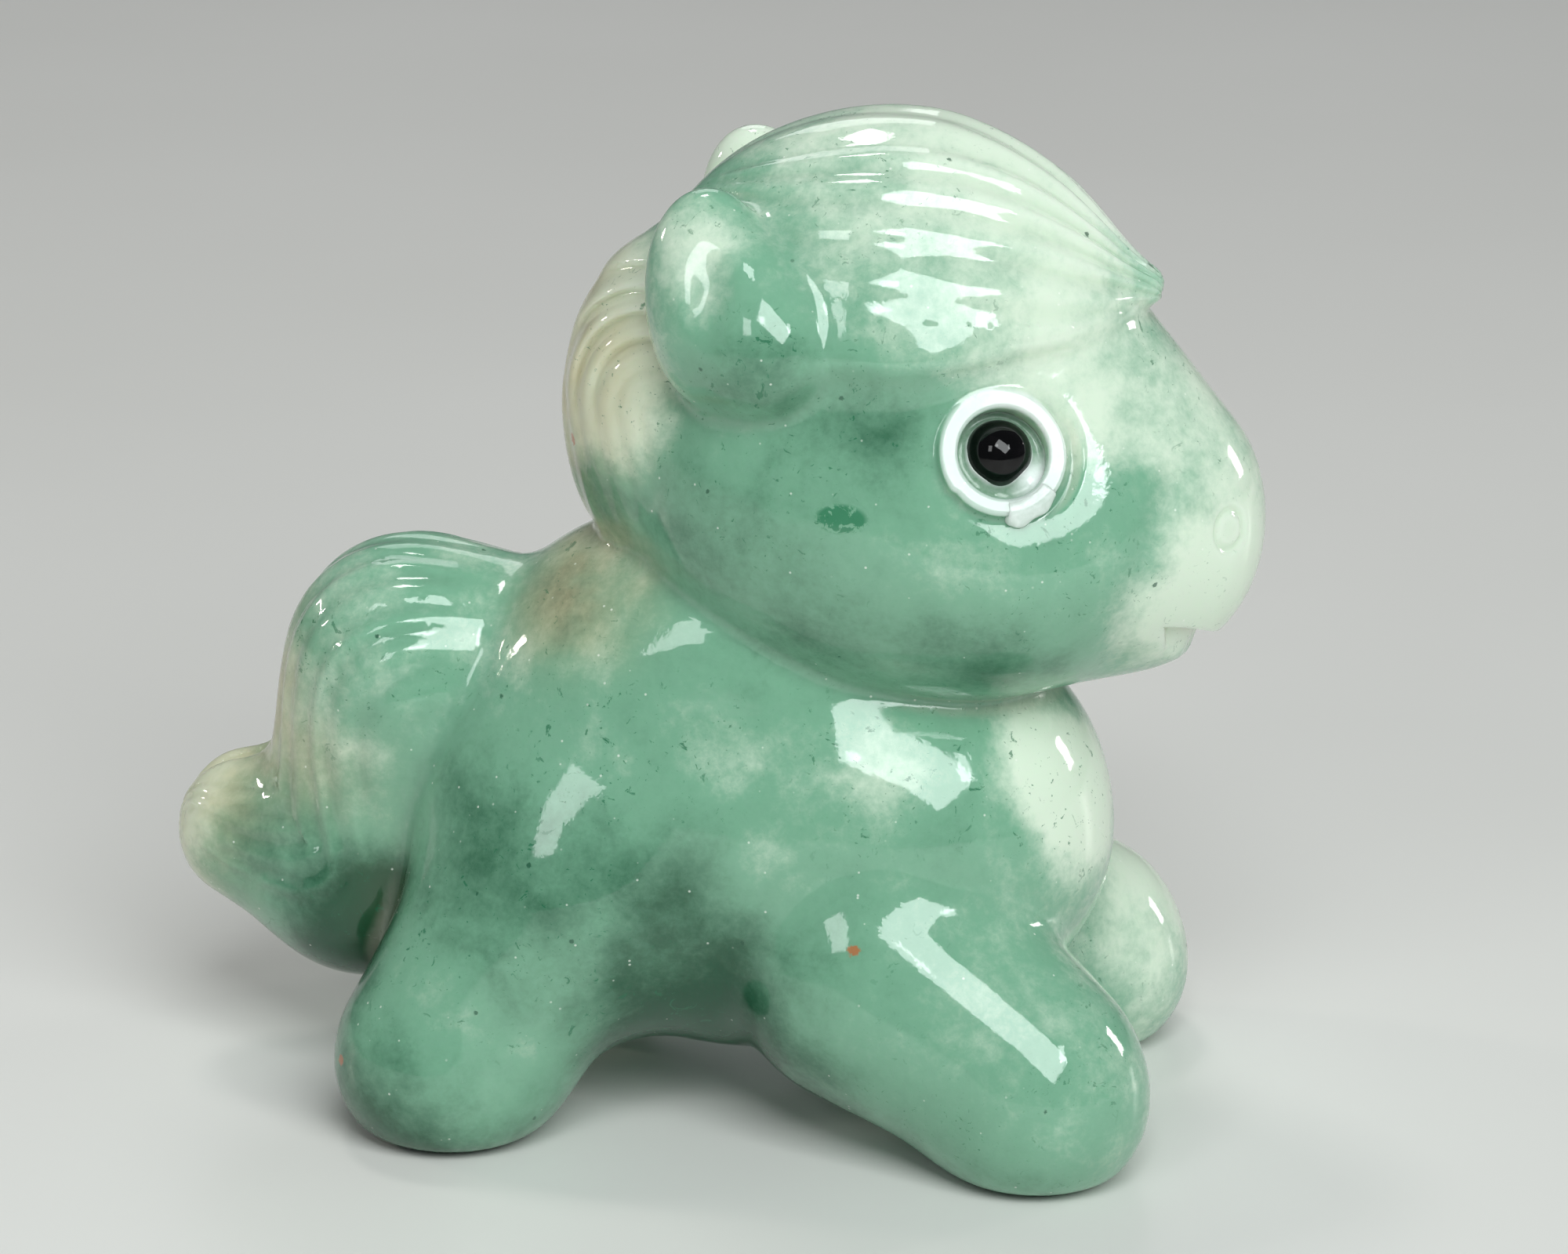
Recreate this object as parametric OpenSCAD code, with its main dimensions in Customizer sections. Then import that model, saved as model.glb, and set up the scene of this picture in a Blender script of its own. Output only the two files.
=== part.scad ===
// Little standing pony carved from one block of pale green jade, with an inlaid black
// bead for each eye. The pony faces +X and stands on its four soles at Z = 0. The origin
// is the middle of its footprint box, and the carving is the same on both sides of Y = 0.
// The stone is described as soft-edged balls and tapered limbs that are blended together
// by a distance function, and its skin is the mesh where that function is zero.
// Every place below is given for the +Y side. Sizes are in millimetres.

/* [Trunk] */
// Middle of the rump
rump_at = [-4.4, 0, 14.4]; // [-6:0.1:16]
// Half sizes of the rump
rump_r = [10, 9.6, 10.2]; // [9:0.1:10.5]
// Middle of the chest
chest_at = [9.6, 0, 13.8]; // [0:0.1:15]
// Half sizes of the chest
chest_r = [9.6, 9.2, 9.8]; // [9:0.1:10]
// Middle of the belly
belly_at = [1.8, 0, 10.5]; // [0:0.1:12]
// Half sizes of the belly
belly_r = [9, 8.2, 7.7]; // [7.5:0.1:9.5]
// Middle of the withers
withers_at = [-3.2, 0, 21]; // [-4:0.1:22]
// Half sizes of the withers
withers_r = [6.6, 7.5, 5.5]; // [5:0.1:8]

/* [Legs] */
// Shoulder joint
shoulder_at = [8.9, 4.9, 8.6]; // [4:0.1:11]
// Radius at the shoulder
shoulder_r = 6.9; // [6.5:0.1:7.4]
// Front fetlock
fetlock_at = [16.4, 8.2, 4.8]; // [4:0.1:17]
// Radius at the front fetlock
fetlock_r = 5.2; // [4.8:0.1:5.4]
// Middle of the front toe
toe_at = [17, 8.3, 3]; // [2.8:0.1:17.4]
// Half sizes of the front toe
toe_r = [4.5, 4.2, 3.7]; // [3.5:0.1:4.8]
// Hip joint
hip_at = [-5.5, 4.8, 11.2]; // [-6:0.1:12]
// Radius at the hip
hip_r = 6.9; // [6.5:0.1:7.2]
// Hock
hock_at = [-10.8, 8.2, 4.2]; // [-11.2:0.1:8.6]
// Radius at the hock
hock_r = 4.8; // [4.5:0.1:5]
// Middle of the hind toe
heel_at = [-10.4, 8.3, 3]; // [-10.8:0.1:8.6]
// Half sizes of the hind toe
heel_r = [5, 4.2, 3.6]; // [3.4:0.1:5.2]

/* [Head] */
// Middle of the neck
neck_at = [1.6, 0, 22.6]; // [0:0.1:23]
// Half sizes of the neck
neck_r = [9.4, 8.2, 6.4]; // [6:0.1:9.6]
// Middle of the skull
skull_at = [8, 0, 33]; // [0:0.1:33.5]
// Half sizes of the skull
skull_r = [11.2, 9.4, 11.2]; // [9.2:0.1:11.4]
// Middle of the cheeks
jaw_at = [7.6, 0, 29.6]; // [0:0.1:30]
// Half sizes of the cheeks
jaw_r = [11, 10.1, 8.4]; // [8:0.1:11.4]
// Bridge of the nose
bridge_at = [14, 0, 33.1]; // [0:0.1:33.5]
// Radius at the bridge of the nose
bridge_r = 8.5; // [8.2:0.1:8.8]
// Middle of the muzzle
muzzle_at = [18.4, 0, 29.1]; // [0:0.1:29.3]
// Radius of the muzzle
muzzle_r = 7.5; // [7.2:0.1:7.7]
// Width of the nose as a share of its depth
nose_slim = 0.84; // [0.8:0.01:0.9]
// Middle of the full part of each cheek
cheek_at = [11.6, 1.4, 29.7]; // [1.2:0.1:30]
// Half sizes of that part
cheek_r = [12, 9.3, 9]; // [8.8:0.1:12.2]
// Turn of the flat on the cheek round the eye, in degrees
flat_turn = 21; // [19:1:23]
// Upward tilt of that flat, in degrees
flat_tilt = 30; // [28:1:32]
// Middle of the mane down the back of the neck
mane_at = [-0.05, 0, 33.4]; // [-1:0.05:34]
// Half sizes of the mane
mane_r = [6.5, 6.6, 8.9]; // [6.4:0.1:9.1]
// Middle of the ear
ear_at = [1.75, 6.6, 40.4]; // [1:0.05:41]
// Half sizes of the ear
ear_r = [3.05, 2.2, 4.8]; // [2:0.05:5]
// Lean of the ear, forwards and outwards
ear_lean = 8; // [4:1:12]
// Middle of the ear's swollen lobe
lobe_at = [3.3, 7.4, 39.2]; // [3:0.1:39.5]
// Half sizes of the lobe
lobe_r = [3.5, 2.4, 3.6]; // [2.2:0.1:4]
// Middle of the knob at the lobe's foot
knob_at = [4.3, 8.5, 38.5]; // [4:0.1:39]
// Half sizes of the knob
knob_r = [2.8, 2.35, 2.9]; // [2.2:0.05:3]

/* [Forelock] */
// Middle of the cap of hair over the forehead
forelock_at = [8.8, 0, 34.4]; // [0:0.1:35]
// Half sizes of the cap of hair
forelock_r = [12.3, 9, 13.2]; // [8.8:0.1:13.2]
// Start of the lock that runs to the tip
lock_at = [11, 0, 40]; // [0:0.1:41]
// Radius at the start of that lock
lock_r = 6.15; // [6:0.05:6.4]
// Tip of the forelock
tip_at = [19.8, 0, 39.8]; // [0:0.1:40.2]
// Radius at the tip
tip_r = 1.35; // [1.2:0.05:1.6]
// Height of the forelock's lower edge at its tip
fringe_z = 38.5; // [38.2:0.1:38.9]
// Fall of that edge towards the back of the head, in degrees
fringe_fall = 4; // [2:0.5:6]

/* [Tail] */
// Root of the tail
tail_root_at = [-8.2, 0, 20.6]; // [-9:0.1:21]
// Radius at the root of the tail
tail_root_r = 4.6; // [4.4:0.1:5]
// Crown of the tail, where the hair arches over
tail_crown_at = [-13.8, 0, 19.9]; // [-14:0.1:20]
// Radius at the crown of the tail
tail_crown_r = 5.7; // [5.5:0.1:5.8]
// Lowest bend of the tail
tail_bend_at = [-16.4, 0, 10.5]; // [-17:0.1:12]
// Radius at the lowest bend
tail_bend_r = 5.85; // [5.6:0.05:6]
// Middle of the curled end
tail_end_at = [-21.9, 0, 11.3]; // [-22.2:0.1:12]
// Radius of the curled end
tail_end_r = 3.75; // [3.6:0.05:3.9]

/* [Eyes] */
// Centre of the eye on the cheek
eye_at = [14.9, 8.35, 34.3]; // [8.2:0.05:34.5]
// Turn of the eye from straight sideways towards the nose, in degrees
eye_turn = 21; // [18:1:24]
// Upward tilt of the eye, in degrees
eye_tilt = 28; // [25:1:31]
// Diameter of the bead
bead_d = 3; // [2.6:0.1:3.2]
// Shift of the bead in its socket, backwards and downwards
bead_shift = [0, -0.2]; // [-0.2:0.05:0.2]
// Diameter of the drilled socket
socket_d = 4; // [3.9:0.1:4.4]
// Depth of the socket below the rim
socket_depth = 2.8; // [2.6:0.1:3.2]
// Outer diameter of the raised rim round the socket
rim_d = 5.6; // [5.4:0.1:6]
// Height of the rim above the cheek
rim_h = 0.35; // [0.3:0.05:0.5]
// Thickness of the glue under the bead
glue_film = 0.12; // [0.1:0.02:0.2]
// Depth of the glue's top below the rim
glue_drop = 1.1; // [0.9:0.1:1.4]

/* [Surface] */
// Size of the cells that the skin is traced on. At 1.41 no cell is shared by two folds
cell = 1.41; // [1.4:0.01:1.41]

/* [Hidden] */
$fn = 64;

// Widths of the blends: a firm crease, a soft fold and a full fillet
crease = 0.6;
fold = 1;
fillet = 2.5;
// The trunk's two ends run into each other over this width
trunk_blend = 11;
// The front legs spring from the chest with a narrow fillet
leg_fillet = 1.2;
// Softness of the edge between the cheek and its flat
flat_edge = 2;
// Outward direction of that flat, and the half width of the mouth's notch
flat_out = [sin(flat_turn) * cos(flat_tilt), cos(flat_turn) * cos(flat_tilt), sin(flat_tilt)];
mouth_w = 4;
// Rounding of the edge round each sole
sole_edge = 1;
// Turned-over edge of the rim, and how far its root is sunk in the cheek
rim_edge = 0.3;
rim_root = 1.6;

// Corner of the traced space, and its number of cells along X, to each side, and up.
// The soles' plane lies half way between two layers of corners.
reach_x = 28;
cells_x = ceil(2 * reach_x / cell);
cells_side = ceil(14.5 / cell);
cells_up = ceil(49.5 / cell) + 1;

jade = [0.55, 0.76, 0.64];
onyx = [0.04, 0.04, 0.05];
resin = [0.86, 0.9, 0.86];

// ---- Distance from a point to each kind of form; negative inside ----

// Ellipsoid with half sizes r, for a point v that is measured from its middle
function ball(v, r) =
    let (
        near = norm([v.x / r.x, v.y / r.y, v.z / r.z]),
        slope = norm([v.x / (r.x * r.x), v.y / (r.y * r.y), v.z / (r.z * r.z)])
    )
    near * (near - 1) / max(slope, 0.001);

// Round limb that tapers from radius ra at a to radius rb at b
function limb(p, a, b, ra, rb) =
    let (
        axis = b - a,
        len2 = axis * axis,
        along = (p - a) * axis / len2,
        off = norm(p - a - along * axis),
        lean = (ra - rb) / sqrt(len2 * (len2 - (ra - rb) * (ra - rb))),
        at = min(1, max(0, along - off * lean))
    )
    norm(p - a - at * axis) - ra - (rb - ra) * at;

// Two forms grown together, with a fillet about w wide
function join(d1, d2, w) =
    let (h = max(w - abs(d1 - d2), 0) / w)
    min(d1, d2) - h * h * w / 4;

// What two forms share, with an edge rounded over about w
function trim(d1, d2, w) = -join(-d1, -d2, w);

// A vector seen in the ear's own leaning frame
function lean_back(v, a) =
    let (x = v.x * cos(a) + v.z * sin(a), z = v.z * cos(a) - v.x * sin(a))
    [x, v.y * cos(a) + z * sin(a), z * cos(a) - v.y * sin(a)];

// ---- The pony's parts; p is a point, s is the same point folded to the +Y side ----

function trunk(p) =
    let (
        ends = join(ball(p - rump_at, rump_r), ball(p - chest_at, chest_r), trunk_blend),
        belly = join(ends, ball(p - belly_at, belly_r), fillet),
        neck = join(belly, ball(p - neck_at, neck_r), fillet)
    )
    join(neck, ball(p - withers_at, withers_r), fillet);

function foreleg(s) =
    join(limb(s, shoulder_at, fetlock_at, shoulder_r, fetlock_r), ball(s - toe_at, toe_r), fillet);

function hind_leg(s) =
    join(limb(s, hip_at, hock_at, hip_r, hock_r), ball(s - heel_at, heel_r), fillet);

function face(p, s) =
    let (
        skull = join(ball(p - skull_at, skull_r), ball(p - jaw_at, jaw_r), fillet),
        slim = [p.x, p.y / nose_slim, p.z],
        muzzle = nose_slim * limb(slim, bridge_at, muzzle_at, bridge_r, muzzle_r),
        cheek = trim(ball(s - cheek_at, cheek_r), (s - eye_at) * flat_out, flat_edge)
    )
    join(join(skull, muzzle, fillet), cheek, leg_fillet);

function forelock(p) =
    let (
        cap = ball(p - forelock_at, forelock_r),
        lock = limb(p, lock_at, tip_at, lock_r, tip_r),
        edge = (tip_at.x - p.x) * sin(fringe_fall) + (fringe_z - p.z) * cos(fringe_fall)
    )
    trim(join(cap, lock, fold), edge, fold);

function ear(s) =
    let (shell = join(ball(lean_back(s - ear_at, ear_lean), ear_r), ball(s - lobe_at, lobe_r), 2 * fold))
    join(shell, ball(s - knob_at, knob_r), fold);

function head(p, s) =
    let (
        haired = join(face(p, s), forelock(p), fold),
        eared = join(haired, ear(s), fold)
    )
    join(eared, ball(p - mane_at, mane_r), fold);

function tail(p) =
    let (
        root = limb(p, tail_root_at, tail_crown_at, tail_root_r, tail_crown_r),
        fall = limb(p, tail_crown_at, tail_bend_at, tail_crown_r, tail_bend_r),
        curl = limb(p, tail_bend_at, tail_end_at, tail_bend_r, tail_end_r)
    )
    join(join(root, fall, fillet), curl, fold);

function pony(p) =
    let (
        s = [p.x, abs(p.y), p.z],
        legs = join(join(trunk(p), foreleg(s), leg_fillet), hind_leg(s), fillet),
        whole = join(join(legs, head(p, s), crease), tail(p), fold)
    )
    trim(whole, -p.z, sole_edge);

// ---- Skin: one vertex in each cell that the surface passes through ----

function corner(i, j, k) = [i * cell - reach_x, j * cell, (k - 1.5) * cell];

// Distances at the corners of the +Y half; the other half is its mirror image
function depths() =
    [for (i = [0:cells_x]) [for (j = [0:cells_side]) [for (k = [0:cells_up]) pony(corner(i, j, k))]]];

STEPS = [for (a = [0:1], b = [0:1], c = [0:1]) [a, b, c]];
EDGES = [
    for (m = [0:7], n = [m + 1:7])
        if (norm(STEPS[m] - STEPS[n]) == 1)
            [m, n]
];

function depth(d, i, j, k) = d[i][abs(j)][k];

// The eight distances at a cell's corners
function around(d, i, j, k) = [for (s = STEPS) depth(d, i + s.x, j + s.y, k + s.z)];

function crossed(v) = min(v) < 0 && max(v) >= 0;

// Mean of the places where the surface cuts the cell's edges
function cell_point(v, i, j, k) =
    let (
        cuts = [
            for (e = EDGES)
                let (va = v[e[0]], vb = v[e[1]])
                    if ((va < 0) != (vb < 0))
                        STEPS[e[0]] + (STEPS[e[1]] - STEPS[e[0]]) * va / (va - vb)
        ],
        mean = [for (c = cuts) 1] * cuts / len(cuts)
    )
    corner(i, j, k) + cell * mean;

// Cells in one fixed order, so that a cell's number is worked out from its place
function cell_number(i, j, k) = (i * 2 * cells_side + j + cells_side) * cells_up + k;

// Running count of the crossed cells, which numbers the vertices
function running(flags) =
    [for (n = 0, count = 0; n < len(flags); count = count + flags[n], n = n + 1) count];

// Two triangles over four corners, split along the shorter diagonal
function quad(points, q, flip) =
    let (
        r = flip ? [q[3], q[2], q[1], q[0]] : q,
        short = norm(points[r[0]] - points[r[2]]) <= norm(points[r[1]] - points[r[3]])
    )
    short
        ? [[r[0], r[1], r[2]], [r[0], r[2], r[3]]]
        : [[r[1], r[2], r[3]], [r[1], r[3], r[0]]];

module skin() {
    d = depths();
    boxes = [
        for (i = [0:cells_x - 1], j = [-cells_side:cells_side - 1], k = [0:cells_up - 1])
            around(d, i, j, k)
    ];
    flags = [for (v = boxes) crossed(v) ? 1 : 0];
    numbers = running(flags);
    points = [
        for (i = [0:cells_x - 1], j = [-cells_side:cells_side - 1], k = [0:cells_up - 1])
            let (n = cell_number(i, j, k))
                if (flags[n] == 1)
                    cell_point(boxes[n], i, j, k)
    ];
    // A face crosses each grid edge whose ends lie on different sides of the surface
    faces = [
        for (i = [1:cells_x - 1], j = [1 - cells_side:cells_side - 1], k = [1:cells_up - 1])
            let (here = depth(d, i, j, k) < 0)
                each [
                    for (dir = [0:2])
                        let (
                            u = STEPS[[4, 2, 1][dir]],
                            a = STEPS[[2, 1, 4][dir]],
                            b = STEPS[[1, 4, 2][dir]],
                            there = depth(d, i + u.x, j + u.y, k + u.z) < 0
                        )
                            if (here != there)
                                let (
                                    ring = [
                                        for (o = [[0, 0, 0], a, a + b, b])
                                            numbers[cell_number(i - o.x, j - o.y, k - o.z)]
                                    ]
                                )
                                    each quad(points, ring, here)
                ]
    ];
    polyhedron(points, faces, convexity = 10);
}

// ---- Eyes ----

// Places its children with +Z out of the cheek; side is 1 on the left, -1 on the right
module at_eye(side) {
    mirror([0, side < 0 ? 1 : 0, 0])
        translate(eye_at)
            rotate([0, 0, 90 - eye_turn])
                rotate([0, 90 - eye_tilt, 0])
                    children();
}

// The bead's place in its socket; +X points down the cheek and +Y towards the tail
module at_bead(side) {
    at_eye(side)
        translate([bead_shift[1], bead_shift[0], rim_h - socket_depth + glue_film + bead_d / 2])
            children();
}

module rim() {
    rotate_extrude()
        union() {
            translate([0, -rim_root])
                square([rim_d / 2, rim_root + rim_h - rim_edge]);
            square([rim_d / 2 - rim_edge, rim_h]);
            translate([rim_d / 2 - rim_edge, rim_h - rim_edge])
                circle(rim_edge);
        }
}

module socket() {
    translate([0, 0, rim_h - socket_depth])
        cylinder(d = socket_d, h = 2 * socket_depth);
}

// The notch between the upper lip and the lower lip, which is set back
module mouth() {
    rotate([90, 0, 0])
        linear_extrude(height = 2 * mouth_w, center = true)
            polygon([[22.9, 24.3], [25.5, 22.8], [25.5, 20], [21.7, 20]]);
}

module jade_pony() {
    color(jade)
        difference() {
            union() {
                skin();
                for (side = [-1, 1])
                    at_eye(side)
                        rim();
            }
            for (side = [-1, 1])
                at_eye(side)
                    socket();
            mouth();
        }
}

module eye_bead(side) {
    color(onyx)
        at_bead(side)
            sphere(d = bead_d);
}

module eye_glue(side) {
    color(resin)
        difference() {
            at_eye(side)
                translate([0, 0, rim_h - socket_depth])
                    cylinder(d = socket_d, h = socket_depth - glue_drop);
            at_bead(side)
                sphere(d = bead_d);
        }
}

module eye_bead_right() {
    eye_bead(-1);
}

module eye_bead_left() {
    eye_bead(1);
}

module eye_glue_right() {
    eye_glue(-1);
}

module eye_glue_left() {
    eye_glue(1);
}

jade_pony();
eye_bead_right();
eye_bead_left();
eye_glue_right();
eye_glue_left();
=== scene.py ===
"""The looks of the carved jade pony. The stone is sculpted again here at full detail, in the CAD's frame.

The sculpting works in millimetres, as the design does; metres are used only when a mesh is made.
"""

import math

import bmesh
import bpy
import numpy as np
from mathutils import Matrix, Vector

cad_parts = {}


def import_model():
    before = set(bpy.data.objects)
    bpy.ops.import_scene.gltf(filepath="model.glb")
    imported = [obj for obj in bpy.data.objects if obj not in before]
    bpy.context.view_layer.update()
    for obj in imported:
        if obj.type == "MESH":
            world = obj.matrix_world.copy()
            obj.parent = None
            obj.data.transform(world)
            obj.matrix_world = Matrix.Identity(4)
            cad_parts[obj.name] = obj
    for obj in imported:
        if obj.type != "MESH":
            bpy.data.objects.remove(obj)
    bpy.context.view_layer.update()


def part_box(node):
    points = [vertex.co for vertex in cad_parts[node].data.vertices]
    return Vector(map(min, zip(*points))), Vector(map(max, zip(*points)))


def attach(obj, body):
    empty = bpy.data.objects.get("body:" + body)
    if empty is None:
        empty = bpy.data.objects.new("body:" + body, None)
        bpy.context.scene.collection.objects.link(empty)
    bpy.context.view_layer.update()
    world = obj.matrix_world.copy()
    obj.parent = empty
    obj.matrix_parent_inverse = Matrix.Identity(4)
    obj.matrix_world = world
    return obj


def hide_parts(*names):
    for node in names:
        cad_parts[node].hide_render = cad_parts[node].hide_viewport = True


MM = 0.001

# ---------------------------------------------------------------- the design's own numbers (mm)
RUMP = ((-4.4, 0, 14.4), (10, 9.6, 10.2))
CHEST = ((9.6, 0, 13.8), (9.6, 9.2, 9.8))
BELLY = ((1.8, 0, 10.5), (9, 8.2, 7.7))
WITHERS = ((-3.2, 0, 21), (6.6, 7.5, 5.5))
NECK = ((1.6, 0, 22.6), (9.4, 8.2, 6.4))
SHOULDER, SHOULDER_R = (8.9, 4.9, 8.6), 6.9
FETLOCK, FETLOCK_R = (16.4, 8.2, 4.8), 5.2
TOE = ((17, 8.3, 3), (4.5, 4.2, 3.7))
HIP, HIP_R = (-5.5, 4.8, 11.2), 6.9
HOCK, HOCK_R = (-10.8, 8.2, 4.2), 4.8
HEEL = ((-10.4, 8.3, 3), (5, 4.2, 3.6))
SKULL = ((8, 0, 33), (11.2, 9.4, 11.2))
JAW = ((7.6, 0, 29.6), (11, 10.1, 8.4))
BRIDGE, BRIDGE_R = (14, 0, 33.1), 8.5
NARROW = 0.84  # the nose is this much slimmer than it is deep
CHEEK = ((11.6, 1.4, 29.7), (12, 9.3, 9.0))
PAD_TURN, PAD_TILT, PAD_SOFT = 21, 30, 2.0  # the flat ground on the cheek for the eye
NOSTRIL, NOSTRIL_R = (24.4, 3.3, 29.8), 0.88
LIP_ROOF_Z, LIP_ROOF_CLIMB, LIP_SIDE_CLIMB = 23.9, 0.58, 0.55
LIP_OUT, LOWER_LIP_OUT, LOWER_LIP_Z = 5.28, 4.25, 23.2  # how far out the lips stand
MOUTH_BACK = 3.4
MUZZLE, MUZZLE_R = (18.4, 0, 29.1), 7.5
MANE = ((-0.05, 0, 33.4), (6.5, 6.6, 8.9))
EAR = ((1.75, 6.6, 40.4), (3.05, 2.2, 4.8))
EAR_LEAN = 8
EAR_HOLLOW = ((1.7, 9.7, 42.6), (2.5, 10.6, 39.8), 0.8, 0.85)
KNOB = ((4.3, 8.5, 38.5), (2.8, 2.35, 2.9))
LOBE = ((3.3, 7.4, 39.2), (3.5, 2.4, 3.6))
FORELOCK = ((8.8, 0, 34.4), (12.3, 9, 13.2))
LOCK, LOCK_R = (11, 0, 40), 6.15
TIP, TIP_R = (19.8, 0, 39.8), 1.35
FRINGE_Z, FRINGE_FALL = 38.5, 4
TAIL_ROOT, TAIL_ROOT_R = (-8.2, 0, 20.6), 4.6
TAIL_CROWN, TAIL_CROWN_R = (-13.8, 0, 19.9), 5.7
TAIL_BEND, TAIL_BEND_R = (-16.4, 0, 10.5), 5.85
TAIL_END, TAIL_END_R = (-21.9, 0, 11.3), 3.75
EYE_AT = (14.9, 8.35, 34.3)
EYE_TURN, EYE_TILT = 21, 28
BEAD_D = 3
BEAD_BACK, BEAD_DOWN = 0.0, -0.2
SOCKET_D, SOCKET_DEPTH = 4, 2.8
RIM_D, RIM_H = 5.6, 0.35
GROOVE_R, GROOVE_WIDE, GROOVE_DEEP = 3.25, 0.42, 0.42  # the groove beside the rim, on the nose's side
CHIP_CLOCK, CHIP_DEEP = -152, 0.12  # where the rim is ground thinner
GLUE_FILM = 0.12
POOL_CLOCK, BACK_CLOCK = 128, 240  # where the glue stands highest round the bead
CREASE, FOLD, FILLET, TRUNK_BLEND = 0.6, 1.0, 2.5, 11.0
SMALL_FILLET = 1.2
SOLE_EDGE = 0.9

# ---------------------------------------------------------------- the carver's fine work (mm, degrees)
POLL, LOCK_END = (0.9, 0, 43.5), (20.6, 0, 39.6)  # the line that the forelock's strands turn about
LOCK_T = (0, 0.15, 0.35, 0.55, 0.75, 0.9, 1.0)  # places along it
LOCK_CUTS = (
    (0, 0, 0, 0, 0, 0, 0),
    (52, 44, 33, 26, 22, 19, 15),
    (65, 59, 50, 43, 39, 36, 31),
    (78, 73, 66, 60, 57, 55, 51),
    (92, 88, 82, 78, 76, 76, 76),
    (110, 106, 101, 98, 97, 98, 100),
)  # the angle of each cut between strands, from the crest round to the side
LOCK_RISE = (0.06, 0.13, 0.19, 0.24, 0.25, 0.22, 0.08)  # the depth between strands along the lock
LOCK_LINE = (0.1, 0.05, 0.01, 0.01, 0.04, 0.07, 0.02)  # the depth of the fine cut there
MANE_TURN = (-0.9, 34.6)  # X and Z that the mane's locks sweep round
MANE_DRIFT = 0.2
MANE_CUTS = (-0.6, 0.8, 2.0, 3.2, 4.3, 5.2, 6.05, 6.95, 7.9, 9.0)
MANE_RISE = 0.22
TAIL_LINE = (
    (-8.2, 20.6), (-11, 20.9), (-13.8, 19.9), (-15.2, 17.5), (-15.8, 15),
    (-16, 12.5), (-16.5, 11.2), (-18, 10.7), (-20, 10.9), (-22, 11.1), (-24.5, 12.2),
)  # X and Z of the tail's middle
TAIL_CUTS = (-90, -72, -58, -41, -29, -10, 12, 60)
TAIL_TURN = 42  # how far the strands wind round between the crown and the tip
TAIL_RISE = 0.13

CELL = 0.5  # mm, the coarse net before it is refined
SPLIT_ANGLES = (32, 43, 57)  # a net cell is split where the surface turns by more than this


# ---------------------------------------------------------------- distance functions
def row(v):
    return np.asarray(v, float)


def ball(p, at, r):
    v, r = p - row(at), row(r)
    near = np.linalg.norm(v / r, axis=-1)
    slope = np.linalg.norm(v / (r * r), axis=-1)
    return near * (near - 1) / np.maximum(slope, 1e-4)


def limb(p, a, b, ra, rb):
    a, b = row(a), row(b)
    axis = b - a
    length2 = float(axis @ axis)
    q = p - a
    along = q @ axis / length2
    off = np.linalg.norm(q - along[..., None] * axis, axis=-1)
    lean = (ra - rb) / math.sqrt(length2 * (length2 - (ra - rb) ** 2))
    at = np.clip(along - off * lean, 0, 1)
    return np.linalg.norm(q - at[..., None] * axis, axis=-1) - ra - (rb - ra) * at


def join(a, b, w):
    h = np.maximum(w - np.abs(a - b), 0) / w
    return np.minimum(a, b) - h * h * w / 4


def trim(a, b, w):
    return -join(-a, -b, w)


def step(x, lo, hi):
    t = np.clip((x - lo) / (hi - lo), 0, 1)
    return t * t * (3 - 2 * t)


def bump(x, at, half):
    return step(half - np.abs(x - at), 0, half)


def strand_relief(x, cuts, radius, wave, line, width=0.3):
    """How far the surface sinks below the strands' crests, where x (degrees or mm) crosses the rising cuts.

    wave is the depth of the round valley between strands, and line that of the fine cut at its bottom."""
    sink = np.zeros_like(x)
    for lo, hi in zip(cuts[:-1], cuts[1:]):
        v = (x - lo) / np.maximum(hi - lo, 1e-6)
        inside = (v >= 0) & (v < 1)
        sink = np.where(inside, wave * (0.5 + 0.5 * np.cos(2 * math.pi * v)), sink)
    for cut in cuts[:-1]:
        sink = sink + line * np.exp(-(((x - cut) * radius / width) ** 2))
    return sink


# ---------------------------------------------------------------- the pony, part by part
def trunk(p):
    d = join(ball(p, *RUMP), ball(p, *CHEST), TRUNK_BLEND)
    d = join(d, ball(p, *BELLY), FILLET)
    d = join(d, ball(p, *NECK), FILLET)
    return join(d, ball(p, *WITHERS), FILLET)


def legs(d, s):
    fore = join(limb(s, SHOULDER, FETLOCK, SHOULDER_R, FETLOCK_R), ball(s, *TOE), FILLET)
    hind = join(limb(s, HIP, HOCK, HIP_R, HOCK_R), ball(s, *HEEL), FILLET)
    return join(join(d, fore, SMALL_FILLET), hind, FILLET)


def face(p, s):
    d = join(ball(p, *SKULL), ball(p, *JAW), FILLET)
    slim = p / row((1, NARROW, 1))
    d = join(d, NARROW * limb(slim, BRIDGE, MUZZLE, BRIDGE_R, MUZZLE_R), FILLET)
    pad = (s - row(EYE_AT)) @ facing(PAD_TURN, PAD_TILT)
    return join(d, trim(ball(s, *CHEEK), pad, PAD_SOFT), SMALL_FILLET)


def facing(turn, tilt):
    a, e = math.radians(turn), math.radians(tilt)
    return row((math.sin(a) * math.cos(e), math.cos(a) * math.cos(e), math.sin(e)))


def nostrils(d, s):
    out = row(NOSTRIL) - row(MUZZLE)
    out = out / np.linalg.norm(out)
    q = s - row(NOSTRIL)
    deep = q @ out
    r = np.linalg.norm(q - deep[..., None] * out, axis=-1)
    near = step(deep, -2.5, -1.5)
    ring = 0.13 * np.exp(-(((r - NOSTRIL_R) / 0.2) ** 2))
    button = 0.05 * step(r, NOSTRIL_R, 0.1)
    return d + near * (ring + button)


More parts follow.
